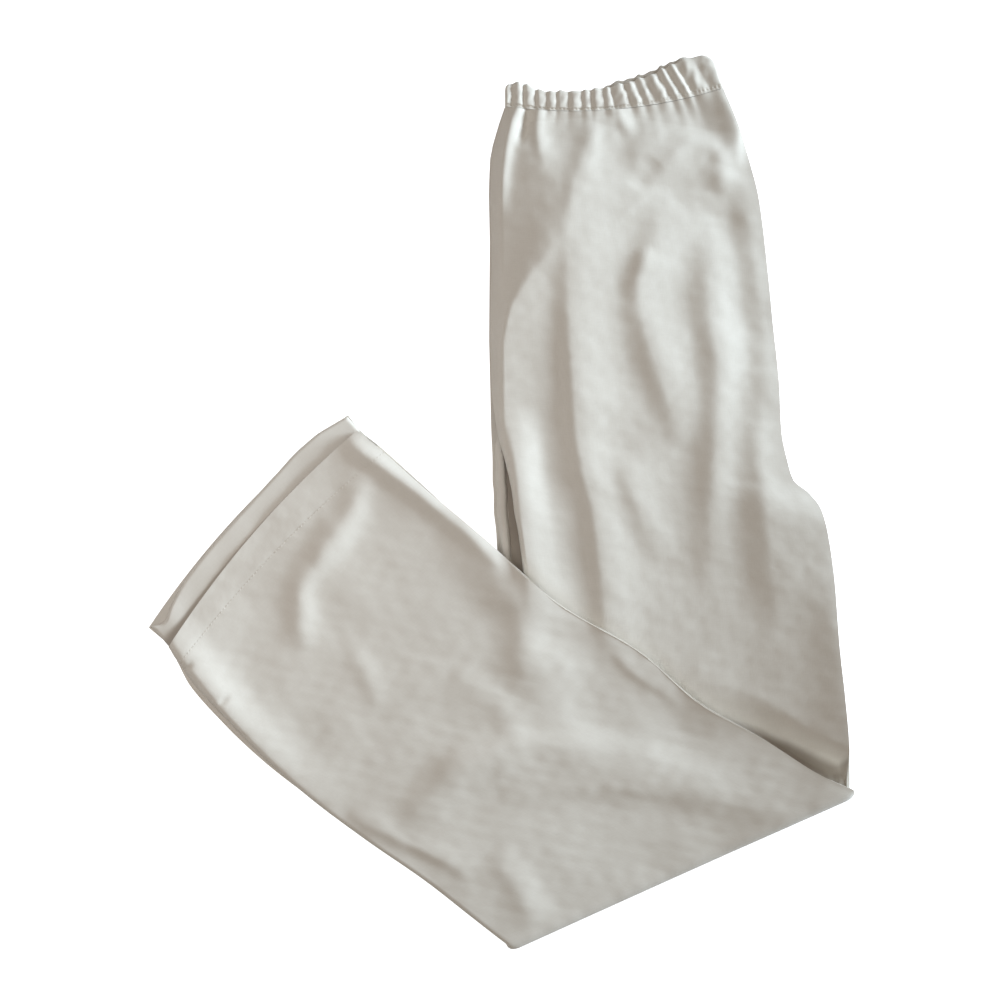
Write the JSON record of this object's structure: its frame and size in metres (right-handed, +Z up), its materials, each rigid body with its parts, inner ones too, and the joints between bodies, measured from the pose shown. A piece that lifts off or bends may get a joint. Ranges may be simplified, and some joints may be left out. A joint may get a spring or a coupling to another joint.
{
  "type": "pull-on linen trousers",
  "caption": "Pull-on linen trousers laid flat: folded in half leg on leg, with the lower legs folded up over the knees, a gathered elastic waist casing and plain turned hems.",
  "frame": {"origin": "on the floor, under the middle of the folded outline", "axes": "+X from the side seams to the centre seams of the upper half, +Y from the knee fold to the waistband, +Z up from the floor"},
  "size_m": [0.5776, 0.7338, 0.0185],
  "materials": {
    "linen": "matte plain weave with a slight sheen",
    "linen_casing": "matte plain weave, gathered"
  },
  "bodies": {
    "root": {"left_front_panel": "linen", "back_panels": "linen", "right_front_panel": "linen", "right_leg_hem": "linen", "waistband_left_front": "linen_casing", "waistband_backs": "linen_casing", "waistband_right_front": "linen_casing"}
  },
  "joints": []
}
